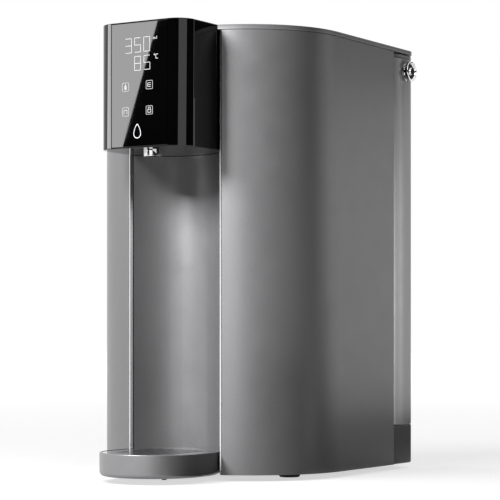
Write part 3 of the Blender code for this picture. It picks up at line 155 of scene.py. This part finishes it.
# Finishes: dark and light colour, lowest and highest roughness; the satins' metallic value
# stands with their colours
SATIN = ((0.150, 0.150, 0.154), (0.190, 0.190, 0.194), 0.65)
# The rear pedestal's satin is the body's satin made darker: painted shade for the pedestal,
# which sits low by the floor
SATIN_SHADED = ((0.050, 0.050, 0.052), (0.066, 0.066, 0.068), 0.50)
graphite = satin_grey("graphite_satin", *SATIN, 0.41, 0.46)
graphite_tank = satin_grey("graphite_satin_tank", *SATIN, 0.30, 0.36)
graphite_shaded = satin_grey("graphite_satin_painted_shade", *SATIN_SHADED, 0.50, 0.56)

gloss = Graph("black_gloss", (0.004, 0.004, 0.005), 0.03, specular_ior_level=0.5)
gloss.paint(gloss.noise(9, 2.0), (0.0012, 0.0012, 0.0014), (0.0022, 0.0022, 0.0025))
gloss.roughen(gloss.noise(28, 4.0, 0.6), 0.008, 0.020)

chrome = Graph("chrome_plate", (0.84, 0.84, 0.85), 0.05, 1.0)
chrome.paint(chrome.noise(60, 2.0), (0.80, 0.80, 0.81), (0.88, 0.88, 0.89))
chrome.roughen(chrome.noise(240, 3.0), 0.03, 0.08)

bright_edge = brushed_metal(
    "bright_edge_strip", (0.74, 0.74, 0.75), (0.88, 0.88, 0.89), 0.10, 0.18, (1, 1, 0.02)
)
steel = brushed_metal(
    "drip_plate_steel", (0.60, 0.60, 0.61), (0.74, 0.74, 0.75), 0.10, 0.22, (1, 0.03, 1), 0.06
)
aluminium = brushed_metal(
    "motor_aluminium", (0.52, 0.52, 0.53), (0.66, 0.66, 0.67), 0.26, 0.42, (1, 1, 0.04)
)
dark_plastic = moulded(
    "dark_plastic_grain", (0.026, 0.026, 0.028), (0.036, 0.036, 0.038), 0.44, 0.60
)
white_plastic = moulded(
    "white_plastic_grain", (0.66, 0.66, 0.645), (0.74, 0.74, 0.725), 0.32, 0.46, 1800, 0.08
)
rubber = moulded(
    "rubber_matt", (0.012, 0.012, 0.012), (0.022, 0.022, 0.022), 0.72, 0.92, 900, 0.4
)
hose_white = moulded(
    "hose_silicone", (0.68, 0.71, 0.73), (0.76, 0.79, 0.81), 0.30, 0.42, 700, 0.05,
    coat_weight=0.2,
)

board = Graph("circuit_board", (0.02, 0.14, 0.06), 0.45)
tracks = board.node("ShaderNodeTexBrick")
tracks.inputs["Scale"].default_value = 160
tracks.inputs["Mortar Size"].default_value = 0.03
tracks.inputs["Color1"].default_value = (0.012, 0.095, 0.040, 1)
tracks.inputs["Color2"].default_value = (0.016, 0.125, 0.052, 1)
tracks.inputs["Mortar"].default_value = (0.05, 0.24, 0.11, 1)
board.link(board.scaled((1, 1, 1)), tracks.inputs["Vector"])
board.link(tracks.outputs["Color"], board.shader.inputs["Base Color"])
board.roughen(board.noise(700, 2.0), 0.35, 0.55)
board.bump(tracks.outputs["Fac"], 0.2, 0.00004)

# The rear pedestal takes the darkened copy of the body's satin, which is painted shade
NODE_FINISH = {"water_tank": graphite_tank, "rear_pedestal": graphite_shaded}
SLOT_FINISH = {
    "graphite_shell": graphite,
    "bright_edge": bright_edge,
    "black_gloss": gloss.material,
    "chrome": chrome.material,
    "dark_plastic": dark_plastic,
    "white_plastic": white_plastic,
    "rubber": rubber,
    "steel": steel,
    "aluminium": aluminium,
    "board_green": board.material,
    "hose_white": hose_white,
}
node_slots = {name: item.data.materials[0].name.split(".")[0] for name, item in nodes.items()}


# CAD nodes: smooth shading over their facets, and the finish of their slot or their own.
# The head's glass is split at a smaller angle, so its flat front mirrors straight lines.
SHARP_ANGLE = 38
GLASS_SHARP_ANGLE = 5
WELD_REACH = 0.00001


def smooth(item, degrees):
    item.data.polygons.foreach_set("use_smooth", [True] * len(item.data.polygons))
    weld = item.modifiers.new("weld", "WELD")
    weld.merge_threshold = WELD_REACH
    split = item.modifiers.new("sharp_edges", "EDGE_SPLIT")
    split.split_angle = math.radians(degrees)
    split.use_edge_sharp = False
    normals = item.modifiers.new("face_normals", "WEIGHTED_NORMAL")
    normals.keep_sharp = True


for name, item in nodes.items():
    item.data.materials.clear()
    item.data.materials.append(NODE_FINISH.get(name, SLOT_FINISH[node_slots[name]]))
    smooth(item, GLASS_SHARP_ANGLE if name == "touch_glass" else SHARP_ANGLE)


# Flat marks on the head's glass: their fronts stand over it and their backs are set in it
MARK_RISE = 0.00006
MARK_DEPTH = 0.00002
CORNER_FACETS = 5
DROP_TAPER = 0.62
DROP_SWELL = 1.18

glass_low, glass_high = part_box("touch_glass")


def glow(name, strength):
    made = Graph(name, (0.6, 0.6, 0.62), 0.4)
    light = made.colours(made.noise(500, 1.0), (0.80, 0.80, 0.80), (1.0, 1.0, 1.0))
    made.link(light, made.shader.inputs["Emission Color"])
    made.shader.inputs["Emission Strength"].default_value = strength
    return made.material


def add_mesh(name, made, finish):
    """An object in the scene from a bmesh, which is freed."""
    mesh = bpy.data.meshes.new(name)
    made.to_mesh(mesh)
    made.free()
    mesh.materials.append(finish)
    item = bpy.data.objects.new(name, mesh)
    scene.collection.objects.link(item)
    return item


def plate_on_glass(name, polygons, finish):
    """Thin flat shapes that lie on the glass, each given as (x, z) points."""
    grid = bmesh.new()
    for points in polygons:
        front = [grid.verts.new((x, glass_low.y - MARK_RISE, z)) for x, z in points]
        back = [grid.verts.new((x, glass_low.y + MARK_DEPTH, z)) for x, z in points]
        grid.faces.new(front)
        grid.faces.new(list(reversed(back)))
        for k in range(len(points)):
            after = (k + 1) % len(points)
            grid.faces.new((front[after], front[k], back[k], back[after]))
    bmesh.ops.recalc_face_normals(grid, faces=grid.faces)
    item = add_mesh(name, grid, finish)
    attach(item, "housing")


def bar(x0, z0, x1, z1, width):
    """A thin bar with pointed ends between two points."""
    a, b = Vector((x0, z0)), Vector((x1, z1))
    along = (b - a).normalized()
    side = Vector((-along.y, along.x)) * width / 2
    cut = along * width / 2
    corners = (a, a + cut - side, b - cut - side, b, b - cut + side, a + cut + side)
    return [tuple(point) for point in corners]


def bars(place, width, *ends):
    """Several bars of one mark, each given by its two ends measured from the mark's place."""
    x, z = place
    return [bar(x + x0, z + z0, x + x1, z + z1, width) for x0, z0, x1, z1 in ends]


# Segments of the digits that the display shows, by the letters that digit() gives them
SEGMENTS = {"0": "abcdef", "3": "abgcd", "5": "afgcd", "8": "abcdefg"}


def digit(value, low_x, low_z, width, height, stroke):
    """A seven-segment digit on its lower left corner."""
    high_x, high_z = low_x + width, low_z + height
    middle = low_z + height / 2
    lines = {
        "a": (low_x, high_z, high_x, high_z), "b": (high_x, middle, high_x, high_z),
        "c": (high_x, low_z, high_x, middle), "d": (low_x, low_z, high_x, low_z),
        "e": (low_x, low_z, low_x, middle), "f": (low_x, middle, low_x, high_z),
        "g": (low_x, middle, high_x, middle),
    }
    return [bar(*lines[key], stroke) for key in SEGMENTS[value]]


def ring_pieces(outer, inner):
    """Quads between two closed lines with the same number of points."""
    count = len(outer)
    return [
        [outer[k], outer[(k + 1) % count], inner[(k + 1) % count], inner[k]]
        for k in range(count)
    ]


def rounded_square(x, z, half_x, half_z, radius):
    points = []
    for centre_x, centre_z, start in (
        (half_x - radius, half_z - radius, 0),
        (radius - half_x, half_z - radius, 90),
        (radius - half_x, radius - half_z, 180),
        (half_x - radius, radius - half_z, 270),
    ):
        for n in range(CORNER_FACETS + 1):
            angle = math.radians(start + 90 * n / CORNER_FACETS)
            points.append((
                x + centre_x + radius * math.cos(angle), z + centre_z + radius * math.sin(angle)
            ))
    return points


def square_ring(x, z, outer, inner):
    """A rounded frame; outer and inner are its half width, half height and corner radius."""
    return ring_pieces(rounded_square(x, z, *outer), rounded_square(x, z, *inner))


def drop(x, z, half_width, height, facets=40):
    """A water drop standing on z, pointed at its top."""
    points = []
    for n in range(facets):
        angle = 2 * math.pi * n / facets
        rise = (1 - math.cos(angle)) / 2
        swell = math.sin(angle) * (1 - DROP_TAPER * rise) * DROP_SWELL
        points.append((x + half_width * swell, z + height * rise))
    return points


def on_glass(px, py):
    """The (x, z) of the head's glass that a pixel of the photograph's frame shows."""
    across = (px - PHOTO_SIZE / 2) / FOCAL_PIXELS
    forward = Vector((-math.sin(CAMERA_AZIMUTH), math.cos(CAMERA_AZIMUTH)))
    right = Vector((math.cos(CAMERA_AZIMUTH), math.sin(CAMERA_AZIMUTH)))
    ray = forward + right * across
    reach = (glass_low.y - CAMERA_PLACE.y) / ray.y
    x = CAMERA_PLACE.x + ray.x * reach
    return x, CAMERA_PLACE.z + (HORIZON_Y - py) / FOCAL_PIXELS * reach


# The display: two rows of digits, with the pixel of each digit's lower left corner
DIGIT_STROKE = 0.00045
DIGIT_WIDTH = 0.0063
DIGIT_HEIGHT = 0.0124
LOWER_ROW_SCALE = 0.98
DIGIT_ROWS = (
    ("350", DIGIT_HEIGHT, ((125.6, 53.5), (134.6, 52.4), (143.7, 51.3))),
    ("85", DIGIT_HEIGHT * LOWER_ROW_SCALE, ((134.6, 70.6), (143.9, 69.5))),
)
VOLUME_UNIT = (153.2, 39.2)
VOLUME_STROKE = 0.0004
DEGREE_UNIT = (155.8, 58.2)
MARK_STROKE = 0.0005

shapes = []
for digits, height, corners in DIGIT_ROWS:
    for value, corner in zip(digits, corners):
        shapes += digit(value, *on_glass(*corner), DIGIT_WIDTH, height, DIGIT_STROKE)
shapes += bars(
    on_glass(*VOLUME_UNIT), VOLUME_STROKE,
    (0, 0, 0, 0.0016), (0.0011, 0, 0.0011, 0.0016), (0.0022, 0, 0.0022, 0.0016),
    (0, 0.0016, 0.0022, 0.0016), (0.0036, 0, 0.0036, 0.0028),
)
x, z = on_glass(*DEGREE_UNIT)
shapes += square_ring(
    x - 0.0014, z + 0.0034, (0.0007, 0.0007, 0.0006), (0.0003, 0.0003, 0.00025)
)
shapes += bars(
    (x, z), MARK_STROKE,
    (0, 0.0036, 0.0024, 0.0036), (0, 0, 0, 0.0036), (0, 0, 0.0024, 0),
)
plate_on_glass("display_numbers", shapes, glow("display_light", strength=0.85))

# Four touch keys, each a frame round a plain sign
KEY_PIXELS = ((125.5, 87.2), (149.3, 84.6), (125.5, 112.0), (149.3, 109.9))
KEY_FRAME = (0.0035, 0.0038, 0.0011), (0.00315, 0.00345, 0.0008)

icons = []
key_places = [on_glass(*pixel) for pixel in KEY_PIXELS]
for x, z in key_places:
    icons += square_ring(x, z, *KEY_FRAME)
drop_key, lines_key, stand_key, lock_key = key_places
x, z = drop_key
icons.append(drop(x, z - 0.0025, 0.0013, 0.0050, facets=18))
icons += bars(
    lines_key, MARK_STROKE,
    (-0.0018, -0.0016, 0.0018, -0.0016), (-0.0018, 0, 0.0018, 0),
    (-0.0018, 0.0016, 0.0018, 0.0016), (-0.0018, -0.0016, -0.0018, 0.0016),
)
icons += bars(
    stand_key, MARK_STROKE,
    (-0.0020, 0.0014, 0.0020, 0.0014), (-0.0016, -0.0020, -0.0016, 0.0014),
    (0.0016, -0.0020, 0.0016, 0.0014),
)
x, z = lock_key
icons += square_ring(x, z - 0.0008, (0.0018, 0.0015, 0.0004), (0.0013, 0.0010, 0.0002))
icons += bars(
    lock_key, MARK_STROKE,
    (-0.0011, 0.0006, -0.0011, 0.0024), (0.0011, 0.0006, 0.0011, 0.0024),
    (-0.0011, 0.0024, 0.0011, 0.0024),
)
plate_on_glass("touch_marks", icons, glow("icon_light", strength=0.62))

# The drop that marks the dispense key: an outer and an inner drop, a line apart
DISPENSE_PIXEL = (137.2, 138.3)

x, z = on_glass(*DISPENSE_PIXEL)
plate_on_glass(
    "dispense_mark",
    ring_pieces(drop(x, z, 0.0044, 0.0125), drop(x, z + 0.0006, 0.0038, 0.0111)),
    glow("dispense_light", strength=1.25),
)


# Floor and world: white to the camera, in mirror images and through clear pieces, and dim as
# a light. The floor glows less near the object, where its shadow shows.
FLOOR_SIDE = 16.0
FLOOR_Z = -0.0004
NEAR_GLOW, FAR_GLOW = 0.60, 1.00
NEAR_REACH, FAR_REACH = 0.25, 3.5
SKY_GREY = 0.1


def eye_rays(tree):
    """1 for camera, glossy and transmission rays, and 0 for the others."""
    path = tree.nodes.new("ShaderNodeLightPath")
    seen = path.outputs["Is Camera Ray"]
    for kind in ("Is Glossy Ray", "Is Transmission Ray"):
        either = tree.nodes.new("ShaderNodeMath")
        either.operation = "MAXIMUM"
        tree.links.new(seen, either.inputs[0])
        tree.links.new(path.outputs[kind], either.inputs[1])
        seen = either.outputs[0]
    return seen


def flat_sheet(name, size, finish):
    """A level rectangle about the origin."""
    made = bmesh.new()
    bmesh.ops.create_grid(made, x_segments=2, y_segments=2, size=0.5)
    bmesh.ops.scale(made, vec=(*size, 1), verts=made.verts)
    return add_mesh(name, made, finish)


paper = Graph("floor_paper", (0.86, 0.86, 0.86), 0.9)
paper.paint(paper.noise(3, 2.0), (0.85, 0.85, 0.85), (0.87, 0.87, 0.87))
distance = paper.node("ShaderNodeVectorMath", operation="LENGTH")
paper.link(paper.place, distance.inputs[0])
brightness = paper.spread(
    distance.outputs["Value"], NEAR_GLOW, FAR_GLOW, NEAR_REACH, FAR_REACH
)
lift = paper.node("ShaderNodeMath", operation="MULTIPLY")
paper.link(eye_rays(paper.tree), lift.inputs[0])
paper.link(brightness, lift.inputs[1])
paper.shader.inputs["Emission Color"].default_value = (1, 1, 1, 1)
paper.link(lift.outputs[0], paper.shader.inputs["Emission Strength"])
floor = flat_sheet("floor", (FLOOR_SIDE, FLOOR_SIDE), paper.material)
floor.location.z = FLOOR_Z

world = bpy.data.worlds.new("studio")
scene.world = world
world.use_nodes = True
tree = world.node_tree
sky = tree.nodes["Background"]
sky.inputs["Color"].default_value = (SKY_GREY, SKY_GREY, SKY_GREY, 1)
white = tree.nodes.new("ShaderNodeBackground")
white.inputs["Color"].default_value = (1, 1, 1, 1)
mixed = tree.nodes.new("ShaderNodeMixShader")
tree.links.new(eye_rays(tree), mixed.inputs["Fac"])
tree.links.new(sky.outputs[0], mixed.inputs[1])
tree.links.new(white.outputs[0], mixed.inputs[2])
tree.links.new(mixed.outputs[0], tree.nodes["World Output"].inputs["Surface"])


# Stage helpers: azimuth 0 is the front (-Y) and 90 the right (+X), in degrees
def toward(azimuth, elevation):
    side, rise = math.radians(azimuth), math.radians(elevation)
    level = math.cos(rise)
    return Vector((math.sin(side) * level, -math.cos(side) * level, math.sin(rise)))


def face(item, azimuth, elevation, reach, target):
    """Places an item by its direction from a target and turns its +Z side away from it."""
    way = toward(azimuth, elevation)
    item.location = Vector(target) + way * reach
    item.rotation_euler = way.to_track_quat("Z", "Y").to_matrix().to_euler()


def area_light(name, size, radiance, on, past=None):
    """A rectangular light of one radiance, kept to the light group on, or from what that
    group excludes. It shines through what the group past excludes."""
    light = bpy.data.lights.new(name, "AREA")
    light.shape = "RECTANGLE"
    light.size, light.size_y = size
    light.energy = radiance * math.pi * size[0] * size[1]
    item = bpy.data.objects.new(name, light)
    scene.collection.objects.link(item)
    item.light_linking.receiver_collection = on
    if past is not None:
        item.light_linking.blocker_collection = past
    return item


def light_group(name, members, state="INCLUDE"):
    group = bpy.data.collections.new(name)
    for member in members:
        group.objects.link(member)
    for entry in group.collection_objects:
        entry.light_linking.link_state = state
    return group


def nodes_with(slot):
    return [item for name, item in nodes.items() if node_slots[name] == slot]


def painted_but(*names):
    """The pieces in the body's paint, without the ones named."""
    left_out = [nodes[name] for name in names]
    return [item for item in painted if item not in left_out]


# Black cards for the gloss and the metal to mirror. The camera doesn't see them, and they
# cast no shadow and shade no diffuse light.
CARD_TARGET = (0, -0.10, 0.20)
CARDS = (
    # name, azimuth, elevation, reach, target, size
    ("card_front", -5, 16, 1.75, CARD_TARGET, (2.66, 2.40)),
    ("card_right", 57, 16, 1.75, CARD_TARGET, (1.70, 2.40)),
    ("card_side", 106, 16, 1.75, CARD_TARGET, (1.70, 2.40)),
    ("card_behind", 148, 11, 1.00, (0.03, -0.10, 0.39), (0.36, 0.26)),
    ("flag_front", 55, 0, 0.36, (0, 0, 0), (0.50, 0.15)),
    ("flag_side", 135, 0, 0.40, (0, 0, 0), (0.50, 0.09)),
    ("flag_floor", 0, 90, 0.001, (0.22, -0.14, 0), (0.34, 0.22)),
    ("flag_floor_side", 0, 90, 0.001, (0.23, 0.08, 0), (0.20, 0.22)),
)

black = Graph("card_black", (0.01, 0.01, 0.01), 0.9)
black.paint(black.noise(5, 2.0), (0.008, 0.008, 0.008), (0.012, 0.012, 0.012))
for name, azimuth, elevation, reach, target, size in CARDS:
    item = flat_sheet(name, size, black.material)
    face(item, azimuth, elevation, reach, target)
    item.visible_camera = False
    item.visible_shadow = False
    item.visible_diffuse = False

# The photograph is retouched and its surfaces are lit as by different lamps, so each lamp is
# kept to the pieces that it is for
head_pieces = [nodes["head_housing"], nodes["touch_glass"]]
painted = nodes_with("graphite_shell")
on_head = light_group("head_only", head_pieces)
on_fill = light_group("paint_but_bay", painted_but("bay_back_wall"))
on_body = light_group("body_paint", painted_but("bay_back_wall", "top_lid", "side_panel_left"))
on_left = light_group("left_panel_only", [nodes["side_panel_left"]])
on_bay = light_group("bay_only", [nodes["bay_back_wall"]])
on_spout = light_group("spout_only", [nodes["spout_collar"]])
on_sides = light_group("paint_but_tray", painted_but("drip_tray"))
on_lid = light_group("lid_only", [nodes["top_lid"]])
past_head = light_group("past_head", head_pieces, "EXCLUDE")
on_edges = light_group("edges_only", nodes_with("bright_edge"))
on_tank = light_group("tank_only", [nodes["water_tank"]])
off_paint = light_group("all_but_paint", head_pieces + painted, "EXCLUDE")

# The softbox that the head's glass mirrors: its right edge lies where the glass, along the
# slanted line in the photograph, reflects the camera's rays to
SOFTBOX_REACH = 1.25
SOFTBOX_WIDTH = 0.75
SOFTBOX_SPARE = 0.25
SOFTBOX_RADIANCE = 8.0
SLANTED_LINE = ((157.0, 22.5), (122.0, 149.0))


def reflected(px, py):
    """Where the camera's ray through a pixel gets to after the head's glass."""
    x, z = on_glass(px, py)
    point = Vector((x, glass_low.y, z))
    ray = point - CAMERA_PLACE
    ray.y = -ray.y
    return point + ray.normalized() * SOFTBOX_REACH


top, foot = [reflected(*pixel) for pixel in SLANTED_LINE]
rise = (top - foot).normalized()
middle = (top + foot) / 2
glass_centre = Vector((0, glass_low.y, glass_low.z / 2 + glass_high.z / 2))
front = (glass_centre - middle).normalized()
left = rise.cross(front).normalized()
front = left.cross(rise).normalized()
size = (SOFTBOX_WIDTH, (top - foot).length + 2 * SOFTBOX_SPARE)
softbox = area_light("softbox_head", size, SOFTBOX_RADIANCE, on_head)
softbox.location = middle + left * SOFTBOX_WIDTH / 2
softbox.rotation_euler = Matrix((-left, rise, -front)).transposed().to_euler()

BODY_MIDDLE = (0, 0, 0.2)
LAMPS = (
    # name, azimuth, elevation, reach, target, size, radiance, light groups
    ("strip_head", 57, 5, 1.30, (0.03, -0.12, 0.33), (1.16, 0.90), 1.25, on_head),
    ("key_paint", -16, 30, 1.30, BODY_MIDDLE, (0.40, 0.36), 130, on_body),
    ("key_left", 4, 30, 1.30, BODY_MIDDLE, (0.40, 0.36), 100, on_left),
    ("key_lid", -17, -6, 1.30, (0, 0, 0.39), (0.34, 0.22), 310, on_lid, past_head),
    ("key_bay", -15, 31, 1.30, BODY_MIDDLE, (0.40, 0.36), 104, on_bay),
    ("fill_paint", 15, 2, 1.30, BODY_MIDDLE, (0.34, 0.34), 3.9, on_fill),
    ("fill_bay", 15, 2, 1.30, BODY_MIDDLE, (0.34, 0.34), 0.8, on_bay),
    ("spout_light", 8, 0, 1.00, (0, -0.10, 0.36), (0.70, 0.40), 1.1, on_spout),
    ("side_left", -80, 14, 1.30, BODY_MIDDLE, (0.5, 0.6), 0.12, on_sides),
    ("side_right", 124, 10, 1.30, BODY_MIDDLE, (0.5, 0.5), 0.9, on_sides),
    ("tank_side", 118, 0, 1.30, (0, 0, 0.17), (1.20, 0.42), 1.7, on_tank),
    ("tank_edge", 98, 0, 1.30, (0, 0, 0.13), (0.35, 0.30), 9.0, on_tank),
    ("edge_light", -20, 0, 1.50, (0, 0, 0.06), (2.20, 0.66), 1.15, on_edges),
    ("key_parts", -20, 45, 1.50, BODY_MIDDLE, (1.2, 0.9), 3.2, off_paint),
    ("fill_parts", 60, 30, 1.50, BODY_MIDDLE, (0.9, 0.7), 2.5, off_paint),
)
for name, azimuth, elevation, reach, target, size, radiance, *groups in LAMPS:
    face(area_light(name, size, radiance, *groups), azimuth, elevation, reach, target)

view = bpy.data.cameras.new("camera")
view.lens = FOCAL_PIXELS * SENSOR_WIDTH / PHOTO_SIZE
view.sensor_width = SENSOR_WIDTH
view.shift_y = (HORIZON_Y - PHOTO_SIZE / 2) / PHOTO_SIZE
view.clip_start = CLIP_START
camera = bpy.data.objects.new("camera", view)
scene.collection.objects.link(camera)
camera.location = CAMERA_PLACE
camera.rotation_euler = (math.pi / 2, 0, CAMERA_AZIMUTH)
scene.camera = camera
scene.view_settings.view_transform = "Standard"
